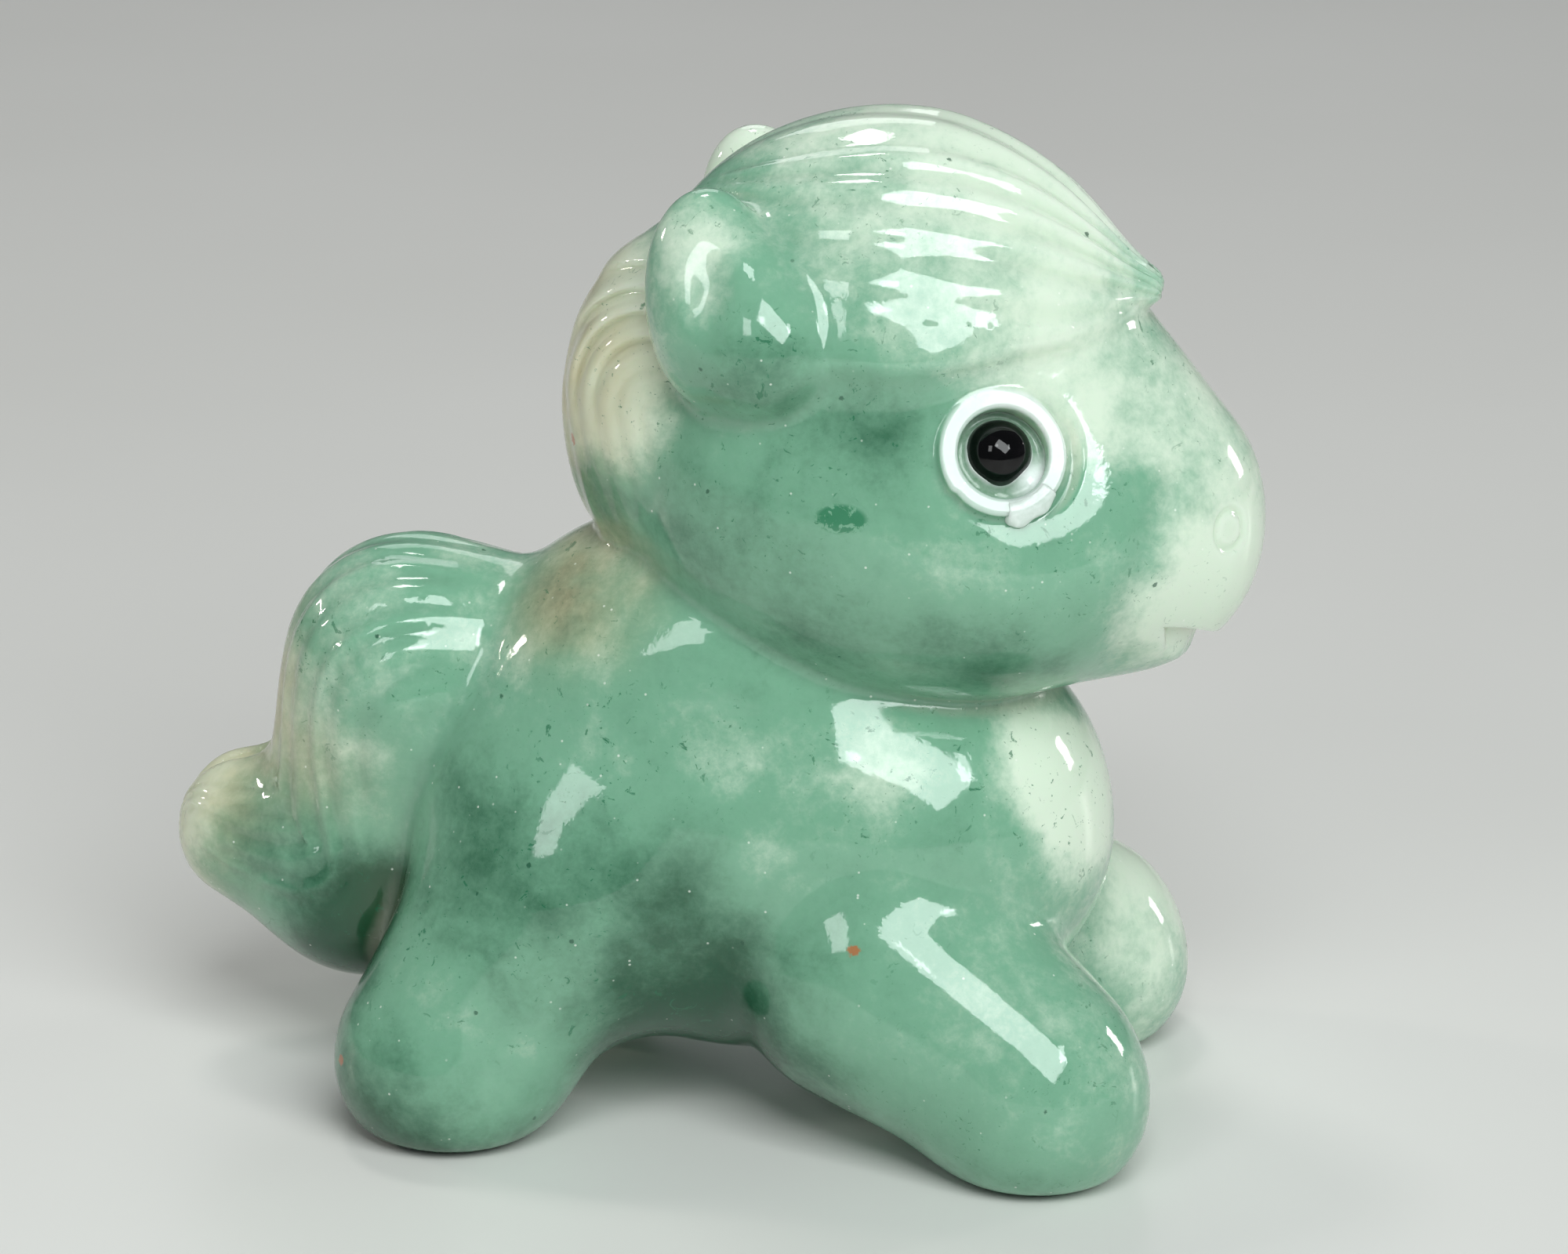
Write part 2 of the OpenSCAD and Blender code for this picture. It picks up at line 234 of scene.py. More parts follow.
def mouth(d, s):
    """The notch under the upper lip.

    Its roof climbs inwards and to the sides, and its floor is the lower lip, which is set back."""
    x, y, z = s[..., 0] - MUZZLE[0], s[..., 1], s[..., 2]
    out = np.hypot(np.maximum(x, 0), y / NARROW)
    side = np.hypot(y, 0.4) - 0.4
    roof = (z - LIP_ROOF_Z - LIP_SIDE_CLIMB * side + LIP_ROOF_CLIMB * (out - LIP_OUT)) * 0.8
    floor = (LOWER_LIP_OUT + 0.3 * (z - LOWER_LIP_Z) + 0.35 * np.maximum(y - 1.0, 0) - out) * 0.957
    notch = np.maximum(np.maximum(roof, floor), 0.6 * (MOUTH_BACK - x))
    return trim(d, -notch, 0.2)


def lip_valley(d, s):
    """The soft valley between the cheek and the muzzle."""
    z = s[..., 2] - 28
    across = s[..., 0] - (20.5 + 0.25 * z + 0.018 * z * z)
    there = step(s[..., 1], 3.2, 5.4) * step(s[..., 2], 20.5, 23.5) * step(s[..., 2], 35.5, 32.5)
    return d + 0.2 * there * np.exp(-((across / 0.75) ** 2))


def forelock(p, s):
    cap = ball(p, *FORELOCK)
    lock = limb(p, LOCK, TIP, LOCK_R, TIP_R)
    d = join(cap, lock, FOLD)
    a = math.radians(FRINGE_FALL)
    edge = (TIP[0] - p[..., 0]) * math.sin(a) + (FRINGE_Z - p[..., 2]) * math.cos(a)
    along, up = lock_axes()
    q = s - row(POLL)
    length = np.linalg.norm(row(LOCK_END) - row(POLL))
    t = np.clip(q @ along / length, 0, 1)
    angle = np.degrees(np.arctan2(s[..., 1], q @ up))
    cuts = [np.interp(t, LOCK_T, c) for c in LOCK_CUTS]
    rise = np.interp(t, LOCK_T, LOCK_RISE)
    radius = np.radians(np.hypot(s[..., 1], q @ up))
    line = np.interp(t, LOCK_T, LOCK_LINE)
    off = np.hypot(s[..., 1], q @ up)
    clear = np.maximum(step(off, 0.8, 3.2), step(t, 0.3, 0.5)) * step(angle, 100, 90)
    d = d + strand_relief(angle, cuts, radius, rise, line) * clear
    return trim(d, edge, 0.7 + 1.3 * step(p[..., 0], 17, 20.5))


def lock_axes():
    along = row(LOCK_END) - row(POLL)
    along = along / np.linalg.norm(along)
    up = row((0, 0, 1)) - along * along[2]
    return along, up / np.linalg.norm(up)


def mane(s):
    d = ball(s, *MANE)
    x, z = s[..., 0] - MANE_TURN[0], s[..., 2] - MANE_TURN[1]
    sweep = np.hypot(x, np.maximum(z, 0))
    sweep = np.where(z > 0, sweep, -x) + MANE_DRIFT * np.maximum(-z, 0)
    high = step(s[..., 2], 33, 37.5) * step(sweep, 1.6, 3.6)
    wave = MANE_RISE * (0.2 + 0.8 * high)
    sideways = 0.25 + 0.75 * step(s[..., 1], 0.6, 3.4)  # shallow where the locks meet at the back
    behind = step(x, 0.8, -0.8) * step(sweep, 8.8, 6.2) * sideways
    return d + behind * strand_relief(sweep, MANE_CUTS, 1.0, wave, 0.03 + 0.12 * high, 0.22)


def ear(s):
    c, n = math.cos(math.radians(EAR_LEAN)), math.sin(math.radians(EAR_LEAN))
    v = s - row(EAR[0])
    x = v[..., 0] * c + v[..., 2] * n
    z = v[..., 2] * c - v[..., 0] * n
    leaned = np.stack([x, v[..., 1] * c + z * n, z * c - v[..., 1] * n], -1)
    d = join(ball(leaned, (0, 0, 0), EAR[1]), ball(s, *LOBE), 2 * FOLD)
    d = trim(d, -limb(s, *EAR_HOLLOW), 1.2)
    return join(d, ball(s, *KNOB), FOLD)


def eye_axes():
    a, b = math.radians(90 - EYE_TURN), math.radians(90 - EYE_TILT)
    turn = np.array([[math.cos(a), -math.sin(a), 0], [math.sin(a), math.cos(a), 0], [0, 0, 1]])
    tilt = np.array([[math.cos(b), 0, math.sin(b)], [0, 1, 0], [-math.sin(b), 0, math.cos(b)]])
    return turn @ tilt


def eye_place(s):
    """Distance from the eye's middle line, clock angle (0 up, 90 towards the nose) and height."""
    q = (s - row(EYE_AT)) @ eye_axes()
    return np.hypot(q[..., 0], q[..., 1]), np.degrees(np.arctan2(-q[..., 1], -q[..., 0])), q[..., 2]


def eye(d, s):
    r, clock, high = eye_place(s)
    side = bump(clock, 96, 84)
    near = step(high, -3.5, -2.5)
    d = d + near * side * GROOVE_DEEP * np.exp(-(((r - GROOVE_R) / GROOVE_WIDE) ** 2))
    from_chip = np.abs((clock - CHIP_CLOCK + 180) % 360 - 180)
    outer = RIM_D / 2 + 0.08 - CHIP_DEEP * step(from_chip, 32, 25)
    e = 0.2
    a, b = r - outer + e, high - RIM_H + e
    ring = np.hypot(np.maximum(a, 0), np.maximum(b, 0)) + np.minimum(np.maximum(a, b), 0) - e
    ring = np.maximum(ring, -1.6 - high)
    d = join(d, ring, 0.35)
    hole = np.minimum(SOCKET_D / 2 - r, high - (RIM_H - SOCKET_DEPTH))
    return trim(d, hole, 0.22)


def tail(p, s):
    root = limb(p, TAIL_ROOT, TAIL_CROWN, TAIL_ROOT_R, TAIL_CROWN_R)
    fall = limb(p, TAIL_CROWN, TAIL_BEND, TAIL_CROWN_R, TAIL_BEND_R)
    curl = limb(p, TAIL_BEND, TAIL_END, TAIL_BEND_R, TAIL_END_R)
    d = join(join(root, fall, FILLET), curl, FOLD)
    near = (s[..., 0] < -5) & (d < 3)
    d[near] += tail_relief(s[near])
    return d


def rounded(line, rounds=2):
    """The line with its corners cut off a few times over."""
    line = row(line)
    for _ in range(rounds):
        a, b = line[:-1], line[1:]
        inner = np.stack([0.75 * a + 0.25 * b, 0.25 * a + 0.75 * b], 1).reshape(-1, 2)
        line = np.concatenate([line[:1], inner, line[-1:]])
    return line


def tail_relief(s):
    x, z = s[..., 0], s[..., 2]
    best, where, off = np.full(x.shape, 1e9), np.zeros(x.shape), np.zeros(x.shape)
    total = 0.0
    line = rounded(TAIL_LINE)
    for a, b in zip(line[:-1], line[1:]):
        seg = b - a
        n = np.linalg.norm(seg)
        t = np.clip(((x - a[0]) * seg[0] + (z - a[1]) * seg[1]) / (n * n), 0, 1)
        dx, dz = x - a[0] - t * seg[0], z - a[1] - t * seg[1]
        far = dx * dx + dz * dz
        side = np.where(seg[0] * dz < seg[1] * dx, -1.0, 1.0)
        closer = far < best
        best = np.where(closer, far, best)
        where = np.where(closer, total + t * n, where)
        off = np.where(closer, side * np.sqrt(far), off)
        total += n
    angle = np.degrees(np.arctan2(off, s[..., 1]))
    wound = angle - TAIL_TURN * step(where, 4, 19) * step(angle, -90, -60)
    fade = step(where, 0.5, 5) * (1 - 0.45 * step(where, 17, 23)) * step(off, 2.5, 0)
    radius = np.radians(np.sqrt(best + s[..., 1] ** 2))
    relief = fade * strand_relief(wound, TAIL_CUTS, radius, TAIL_RISE, 0.03, 0.35)
    return relief + 0.45 * step(where, 14, 20) * np.exp(-((s[..., 1] / 0.5) ** 2)) * step(-off, 0.5, 2)


def hand_work(p):
    """The slow unevenness that hand polishing leaves."""
    waves = (
        (0.61, 0.22, 0.35, 0.4, 0.018), (-0.31, 0.72, 0.28, 2.1, 0.016), (0.15, -0.4, 0.83, 4.4, 0.016),
        (0.9, 0.85, -0.42, 1.3, 0.009), (-0.95, 0.33, 0.9, 5.2, 0.009), (0.4, 1.2, 0.7, 3.3, 0.007),
    )
    d = 0.0
    for a, b, c, phase, high in waves:
        d = d + high * np.sin(a * p[..., 0] + b * p[..., 1] + c * p[..., 2] + phase)
    return d


def stone(p):
    s = p.copy()
    s[..., 1] = np.abs(s[..., 1])
    body = legs(trunk(p), s)
    head = lip_valley(mouth(nostrils(face(p, s), s), s), s)
    fringe_fold = 0.5 + 4.0 * step(p[..., 0], 18.5, 10)
    head = join(head, forelock(p, s), fringe_fold)
    head = join(head, mane(s), FOLD * 0.6)
    head = join(head, ear(s), FOLD * 0.8)
    head = eye(head, s)
    d = join(body, head, CREASE)
    d = join(d, tail(p, s), FOLD * 0.8)
    d = d + hand_work(p)
    return trim(d, -p[..., 2], SOLE_EDGE)


# ---------------------------------------------------------------- from distance to mesh
def surface_nets(depth, origin, cell):
    inside = depth < 0
    n = depth.shape
    count = np.zeros([k - 1 for k in n], np.int8)
    corners = [(a, b, c) for a in (0, 1) for b in (0, 1) for c in (0, 1)]
    for a, b, c in corners:
        count += inside[a:n[0] - 1 + a, b:n[1] - 1 + b, c:n[2] - 1 + c]
    active = (count > 0) & (count < 8)
    number = np.full(active.shape, -1, np.int64)
    number[active] = np.arange(active.sum())
    at = np.argwhere(active)
    total, crossings = np.zeros((len(at), 3)), np.zeros(len(at))
    value = {k: depth[at[:, 0] + k[0], at[:, 1] + k[1], at[:, 2] + k[2]] for k in corners}
    for p in corners:
        for q in corners:
            if q > p and sum(abs(x - y) for x, y in zip(p, q)) == 1:
                crossed = (value[p] < 0) != (value[q] < 0)
                t = np.where(crossed, value[p] / np.where(crossed, value[p] - value[q], 1), 0)
                total += crossed[:, None] * (row(p) + (row(q) - row(p)) * t[:, None])
                crossings += crossed
    points = row(origin) + cell * (at + total / crossings[:, None])
    quads = []
    for axis in range(3):
        u, v = (axis + 1) % 3, (axis + 2) % 3
        low = [slice(1, k - 1) for k in n]
        low[axis] = slice(0, n[axis] - 1)
        high = list(low)
        high[axis] = slice(1, n[axis])
        first, second = inside[tuple(low)], inside[tuple(high)]
        cut = first != second
        edge = np.argwhere(cut)
        shift = np.array([1, 1, 1])
        shift[axis] = 0
        edge = edge + shift
        du, dv = np.zeros(3, int), np.zeros(3, int)
        du[u], dv[v] = 1, 1
        around = [edge, edge - du, edge - du - dv, edge - dv]
        quad = np.stack([number[t[:, 0], t[:, 1], t[:, 2]] for t in around], 1)
        quads.append(np.where(first[cut][:, None], quad[:, ::-1], quad))
    return points, np.concatenate(quads)


def slope(p, h=0.012):
    """The gradient of the stone's distance, from four samples."""
    k = np.array([[1, -1, -1], [-1, -1, 1], [-1, 1, -1], [1, 1, 1]], float)
    g = np.zeros_like(p)
    for v in k:
        g += v * stone(p + v * h)[:, None]
    return g / (4 * h)


def settle(p, rounds, reach):
    """Moves points onto the surface, and returns them with their outward directions."""
    for _ in range(rounds):
        d, g = stone(p), slope(p)
        size2 = np.maximum((g * g).sum(1), 0.05)
        move = -d / size2
        move = np.clip(move, -reach, reach)
        p = p + move[:, None] * g
    g = slope(p)
    return p, g / np.maximum(np.linalg.norm(g, axis=1), 1e-6)[:, None]


def coarse_net(low, high):
    counts = np.ceil((high - low) / CELL).astype(int)
    axes = [low[k] + CELL * np.arange(counts[k] + 1) for k in range(3)]
    grid = np.stack(np.meshgrid(*axes, indexing="ij"), -1)
    depth = stone(grid.reshape(-1, 3)).reshape(grid.shape[:3])
    return surface_nets(depth, low, CELL)


def corner_turn(faces, normals):
    """The widest angle between the directions at a face's corners, in degrees."""
    turn = np.zeros(len(faces))
    for k, f in enumerate(faces):
        n = normals[f]
        turn[k] = (n @ n.T).min()
    return np.degrees(np.arccos(np.clip(turn, -1, 1)))


def must_refine(centre, level):
    """Where fine carving needs small cells even if the coarse net missed it."""
    s = centre.copy()
    s[:, 1] = np.abs(s[:, 1])
    r, _, high = eye_place(s)
    at_eye = (r < 4.3) & (high > -1.6)
    rim_edge = (r < 2.95) & (r > 1.85) & (high > -0.2)
    nostril = np.linalg.norm(s - row(NOSTRIL), axis=1) < 1.6
    lips = (s[:, 0] > 20.5) & (s[:, 2] < 26) & (s[:, 2] > 21) & (s[:, 1] < 5)
    hair = ((s[:, 2] > 39.0) & (s[:, 0] > 0)) | ((s[:, 0] < 0.5) & (s[:, 2] > 28))
    if level == 0:
        return at_eye | nostril | lips | hair
    if level == 1:
        return at_eye | nostril | ((s[:, 0] > 22) & lips)
    return rim_edge


def refine(points, quads):
    """Splits the net where the carving is fine, and settles each new point on the surface."""
    points, normals = settle(points, 4, CELL)
    bm = bmesh.new()
    verts = [bm.verts.new(p) for p in points]
    for q in quads:
        bm.faces.new([verts[k] for k in q])
    bm.verts.ensure_lookup_table()
    for level, limit in enumerate(SPLIT_ANGLES):
        bm.verts.index_update()
        bm.faces.ensure_lookup_table()
        faces = [[v.index for v in f.verts] for f in bm.faces]
        turn = corner_turn(faces, normals)
        centre = np.array([points[f].mean(0) for f in faces])
        size = np.array([np.ptp(points[f], axis=0).max() for f in faces])
        want = ((turn > limit) | must_refine(centre, level)) & (size > 0.6 * CELL / 2**level)
        chosen = {e for f, w in zip(bm.faces, want) if w for e in f.edges}
        before = len(bm.verts)
        bmesh.ops.subdivide_edges(bm, edges=list(chosen), cuts=1, use_grid_fill=True)
        bm.verts.ensure_lookup_table()
        bm.verts.index_update()
        co = np.array([v.co for v in bm.verts], float)
        co[:before] = points
        new, new_normals = settle(co[before:], 4, CELL / 2**level)
        points = np.concatenate([points, new])
        normals = np.concatenate([normals, new_normals])
        for v, c in zip(bm.verts, points):
            v.co = c
    return bm, points, normals


def hollows(points, normals, reach=0.9):
    """0 on open surface, towards 1 in a tight hollow."""
    return np.clip(1 - stone(points + normals * reach) / reach, 0, 1)


def rim_top(points):
    """1 on the rim's flat top, which is left less polished than the rest and is painted pale as a painted
    highlight.
    """
    s = points.copy()
    s[:, 1] = np.abs(s[:, 1])
    r, _, high = eye_place(s)
    return step(high, 0.02, 0.24) * step(high, 0.8, 0.6) * step(r, 1.95, 2.1) * step(r, 3.05, 2.8)


def build_stone():
    low, high = [row(c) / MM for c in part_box("jade_pony")]
    points, quads = coarse_net(low - 1.31, high + 1.3)
    bm, points, normals = refine(points, quads)
    for v in bm.verts:
        v.co = v.co * MM
    mesh = bpy.data.meshes.new("JadeStone")
    bm.to_mesh(mesh)
    bm.free()
    volume = sum(f.center.dot(f.normal) * f.area for f in mesh.polygons)
    if volume < 0:
        mesh.flip_normals()
    mesh.polygons.foreach_set("use_smooth", [True] * len(mesh.polygons))
    mesh.normals_split_custom_set_from_vertices(normals.tolist())
    pit = mesh.attributes.new("hollow", "FLOAT", "POINT")
    pit.data.foreach_set("value", hollows(points, normals).astype(np.float32))
    # the rim top's mask, for its matte finish and its painted pale sheen
    rim_matte_and_painted_sheen = mesh.attributes.new("rim_matte_and_painted_sheen", "FLOAT", "POINT")
    rim_matte_and_painted_sheen.data.foreach_set("value", rim_top(points).astype(np.float32))
    obj = bpy.data.objects.new("JadeStone", mesh)
    bpy.context.scene.collection.objects.link(obj)
    mesh.materials.append(jade_material())
    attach(obj, "root")
    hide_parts("jade_pony")
    return obj


# ---------------------------------------------------------------- node helpers
class Nodes:
    """A small hand for wiring one material."""

    def __init__(self, name):
        self.material = bpy.data.materials.new(name)
        self.material.use_nodes = True
        self.tree = self.material.node_tree
        self.tree.nodes.clear()
        self.shader = self.tree.nodes.new("ShaderNodeBsdfPrincipled")
        self.out = self.tree.nodes.new("ShaderNodeOutputMaterial")
        self.link(self.shader.outputs[0], self.out.inputs["Surface"])
        coords = self.tree.nodes.new("ShaderNodeTexCoord")
        scale = self.add("ShaderNodeVectorMath", operation="SCALE")
        self.link(coords.outputs["Object"], scale.inputs[0])
        scale.inputs["Scale"].default_value = 1 / MM
        self.mm = scale.outputs[0]

    def add(self, kind, **settings):
        node = self.tree.nodes.new(kind)
        for k, v in settings.items():
            setattr(node, k, v)
        return node

    def link(self, a, b):
        self.tree.links.new(a, b)

    def put(self, value, socket):
        if isinstance(value, bpy.types.NodeSocket):
            self.link(value, socket)
        else:
            socket.default_value = value

    def math(self, operation, a, b=0.0, clamp=False):
        node = self.add("ShaderNodeMath", operation=operation, use_clamp=clamp)
        self.put(a, node.inputs[0])
        self.put(b, node.inputs[1])
        return node.outputs[0]

    def ramp(self, value, lo, hi, to_lo=0.0, to_hi=1.0):
        node = self.add("ShaderNodeMapRange", interpolation_type="SMOOTHSTEP")
        self.put(value, node.inputs["Value"])
        for name, v in (("From Min", lo), ("From Max", hi), ("To Min", to_lo), ("To Max", to_hi)):
            self.put(v, node.inputs[name])
        return node.outputs["Result"]

    def noise(self, scale, detail=2.0, rough=0.5, distort=0.0, seed=0.0, where=None):
        node = self.add("ShaderNodeTexNoise", noise_dimensions="4D")
        self.link(where or self.mm, node.inputs["Vector"])
        for name, v in (("Scale", scale), ("Detail", detail), ("Roughness", rough),
                        ("Distortion", distort), ("W", seed)):
            node.inputs[name].default_value = v
        return node.outputs[0]

    def cells(self, scale, where=None):
        """A cell pattern: distance from each cell's own point, and one random number per cell."""
        node = self.add("ShaderNodeTexVoronoi")
        self.link(where or self.mm, node.inputs["Vector"])
        node.inputs["Scale"].default_value = scale
        split = self.add("ShaderNodeSeparateColor")
        self.link(node.outputs["Color"], split.inputs[0])
        return node.outputs["Distance"], split.outputs[0]

    def mix(self, factor, a, b):
        node = self.add("ShaderNodeMix", data_type="RGBA")
        self.put(factor, node.inputs["Factor"])
        self.put(a, node.inputs[6])
        self.put(b, node.inputs[7])
        return node.outputs[2]

    def blob(self, at, radius, squash=(1, 1, 1)):
        """1 at a place in the stone, fading to 0 at the radius."""
        shift = self.add("ShaderNodeVectorMath", operation="SUBTRACT")
        self.link(self.mm, shift.inputs[0])
        shift.inputs[1].default_value = at
        pull = self.add("ShaderNodeVectorMath", operation="MULTIPLY")
        self.link(shift.outputs[0], pull.inputs[0])
        pull.inputs[1].default_value = squash
        length = self.add("ShaderNodeVectorMath", operation="LENGTH")
        self.link(pull.outputs[0], length.inputs[0])
        return self.ramp(length.outputs["Value"], radius, 0.0)


def srgb(r, g, b):
    def lin(c):
        c = c / 255
        return c / 12.92 if c <= 0.04045 else ((c + 0.055) / 1.055) ** 2.4
    return (lin(r), lin(g), lin(b), 1.0)


# ---------------------------------------------------------------- materials
# deeper green blobs (place, radius, strength): partly the stone's own green clouds, partly painted shade
# low on the belly, legs and feet and in the gap between the rump and the tail
GREEN_CLOUDS_AND_LOW_SHADE = (
    ((-14, -6, 10), 4, 0.8), ((0, -8, 30), 5, 0.5), ((-5, -6, 30), 3.5, 0.9),
    ((6, -9, 28), 9, 0.4), ((6, 9, 29), 9, 0.7), ((2, 0, 9), 13, 0.7), ((4, -10, 38), 4, 0.7),
    ((4, 10, 38), 4, 0.4), ((13, -8, 15), 5, 0.2), ((-7, -9, 13), 8, 1.1), ((-7, 9, 13), 8, 1.0),
    ((16, -9, 1), 7, 0.8), ((-12, -9, 1), 9, 2.0), ((-12, 9, 1), 8, 1.2), ((-14, -5, 8), 7, 1.7),
    ((14, -8, 24.5), 6, 1.0), ((8, -10, 35), 6, 0.25), ((1, -7, 7), 10, 1.6), ((1, 7, 7), 9, 1.2),
    ((7, -9, 24), 6, 0.5), ((15, 5, 20), 4, 0.4), ((-10, 0, 9), 7, 1.0), ((0, -9, 14), 6, 0.8),
    ((10, -9, 36), 4, 0.5), ((8, -9, 2), 7, 0.8), ((-10, -7, 17), 4, 0.5),
    ((-18, -5, 12), 5, 0.5), ((-17, -3, 7), 5, 1.2),
)
PALE_CLOUDS = (
    ((12, 0, 43), 13, 1.1), ((21, 0, 32), 8, 0.9), ((23, -3, 27), 6.5, 1.5), ((-4, -3, 37), 8, 1.6),
    ((-4, 3, 37), 8, 0.8), ((-18, 0, 18), 8, 0.6), ((-24, 0, 12), 5, 1.6), ((-3, 0, 26), 7, 0.5),
    ((19, -3, 17), 6, 1.6), ((16, -5, 19), 4, 0.9), ((1, -8, 43), 4, 0.6), ((0, 7, 45), 8, 2.4),
    ((2, 7, 41), 4, 1.5), ((10, -9, 19), 4, 0.35), ((17, 9, 6), 8, 1.8), ((17, -6, 36), 6, 0.7),
    ((-2, 7, 40), 6, 0.6),
)
WARM_CLOUDS = (
    ((-18, 0, 17), 10, 1.0), ((-22, 0, 11), 7, 1.0), ((-6, -2, 35), 10, 1.3), ((-4, -4, 25), 7, 1.0),
    ((-3, 0, 23), 7, 0.5), ((-8, 0, 21), 5, 0.5), ((-13, -4, 9), 6, 0.7),
)


def jade_material():
    n = Nodes("JadePolished")
    green = n.noise(0.1, 3.0, 0.5, 0.3, 3.7)
    amount = n.math("MULTIPLY", n.math("SUBTRACT", green, 0.5), 1.0)
    # deeper green: the stone's own clouds, and painted shade under the body and in the rump's gap
    for at, radius, much in GREEN_CLOUDS_AND_LOW_SHADE:
        amount = n.math("ADD", amount, n.math("MULTIPLY", n.blob(at, radius), much))
    for at, radius, much in PALE_CLOUDS:
        amount = n.math("SUBTRACT", amount, n.math("MULTIPLY", n.blob(at, radius), much))
    warmth = 0.0
    for at, radius, much in WARM_CLOUDS:
        warmth = n.math("ADD", warmth, n.math("MULTIPLY", n.blob(at, radius), much))
    wisps = n.noise(0.33, 4.0, 0.55, 0.35, 9.1)
    amount = n.math("ADD", amount, n.math("MULTIPLY", n.math("SUBTRACT", wisps, 0.5), 1.3))
    grain = n.noise(2.2, 4.0, 0.7, 0.3, 1.4)
    amount = n.math("ADD", amount, n.math("MULTIPLY", n.math("SUBTRACT", grain, 0.5), 0.6))
    pale, mid, deep = srgb(222, 236, 218), srgb(130, 180, 152), srgb(12, 84, 54)
    color = n.mix(n.ramp(amount, -0.8, 0.1), pale, mid)
    color = n.mix(n.ramp(amount, 0.0, 1.5), color, deep)
    honey = n.mix(n.ramp(amount, -0.7, 0.9), srgb(208, 202, 168), srgb(72, 92, 64))
    patchy = n.ramp(n.noise(0.2, 3.0, 0.5, 0.4, 21.0), 0.3, 0.65, 0.45, 1.0)
    color = n.mix(n.math("MULTIPLY", n.ramp(warmth, 0.0, 0.9), patchy), color, honey)
    # ragged green flecks, a few of them large, and one short vein on the cheek
    crowd = n.ramp(n.noise(0.13, 2.0, 0.5, 0.0, 14.0), 0.4, 0.6)
    for scale, lo, hi, seed in ((0.8, 0.63, 0.67, 5.5), (2.0, 0.62, 0.67, 6.5)):
        fleck = n.math("MULTIPLY", n.ramp(n.noise(scale, 4.0, 0.68, 1.6, seed), lo, hi), crowd)
        color = n.mix(n.math("MULTIPLY", fleck, 0.7), color, srgb(28, 112, 76))
    vein = n.math("MULTIPLY", n.blob((8.1, -10.2, 31.6), 1.6, (0.9, 0.3, 1.6)),
                  n.ramp(n.noise(1.5, 4.0, 0.65, 1.5, 3.0), 0.4, 0.52))
    color = n.mix(n.ramp(vein, 0.15, 0.45, 0.0, 0.75), color, srgb(30, 124, 84))
    # small dark grains and rust specks
    far, pick = n.cells(0.5)
    ragged = n.math("ADD", far, n.math("MULTIPLY", n.noise(4.0, 3.0, 0.7, 0.0, 17.0), 0.14))
    dot = n.math("MULTIPLY", n.ramp(ragged, 0.14, 0.11), n.ramp(pick, 0.7, 0.72))
    color = n.mix(n.math("MULTIPLY", dot, 0.75), color, srgb(24, 84, 60))
    far, pick = n.cells(0.2)
    rusty = n.math("ADD", far, n.math("MULTIPLY", n.noise(3.0, 3.0, 0.7, 0.0, 12.0), 0.12))
    spot = n.math("MULTIPLY", n.ramp(rusty, 0.125, 0.1), n.ramp(pick, 0.75, 0.77))
    color = n.mix(n.math("MULTIPLY", spot, 0.75), color, srgb(190, 104, 48))
    # white sugary grains, crowded into the creases as painted glints, then a painted pale sheen in the
    # creases
    hollow = n.add("ShaderNodeAttribute", attribute_name="hollow").outputs["Fac"]
    tight = n.ramp(hollow, 0.35, 0.8)
    far, pick = n.cells(2.6)
    sugar_and_crease_glints = n.math("MULTIPLY", n.ramp(far, 0.2, 0.08),
                   n.ramp(n.math("ADD", pick, n.math("MULTIPLY", tight, 0.35)), 0.93, 0.97))
    color = n.mix(n.math("MULTIPLY", sugar_and_crease_glints, 0.6), color, srgb(246, 250, 242))
    # painted highlight: a warm pale sheen laid into the creases
    color = n.mix(n.math("MULTIPLY", tight, 0.25), color, srgb(226, 220, 204))
    rim_matte_and_painted_sheen = n.add("ShaderNodeAttribute", attribute_name="rim_matte_and_painted_sheen").outputs["Fac"]
    # painted highlight: the rim's flat top is painted pale in place of its white reflection; the added
    # roughness further down is its real matte finish
    color = n.mix(n.math("MULTIPLY", rim_matte_and_painted_sheen, 0.6), color, srgb(232, 242, 236))
    n.link(color, n.shader.inputs["Base Color"])
    worn = n.ramp(n.noise(0.7, 3.0, 0.6, 0.0, 2.0), 0.45, 0.8)
    rough = n.math("ADD", 0.055, n.math("MULTIPLY", worn, 0.03))
    rough = n.math("ADD", rough, n.math("MULTIPLY", tight, 0.2))
    rough = n.math("ADD", rough, n.math("MULTIPLY", rim_matte_and_painted_sheen, 0.12))
    n.link(rough, n.shader.inputs["Roughness"])
    n.shader.inputs["IOR"].default_value = 1.62
    n.shader.inputs["Subsurface Weight"].default_value = 0.85
    n.shader.inputs["Subsurface Radius"].default_value = (0.85, 1.0, 0.9)
    n.shader.inputs["Subsurface Scale"].default_value = 1.2 * MM
    fine = n.noise(1.1, 3.0, 0.55, 0.2, 8.0)
    pits = n.math("MULTIPLY", n.ramp(n.noise(5.0, 2.0, 0.6, 0.0, 31.0), 0.6, 0.8), tight)
    high = n.math("ADD", n.math("MULTIPLY", fine, 0.014), n.math("MULTIPLY", pits, 0.05))
    relief = n.add("ShaderNodeBump")
    relief.inputs["Strength"].default_value = 1.0
    relief.inputs["Distance"].default_value = MM
    n.link(high, relief.inputs["Height"])
    n.link(relief.outputs[0], n.shader.inputs["Normal"])
    return n.material


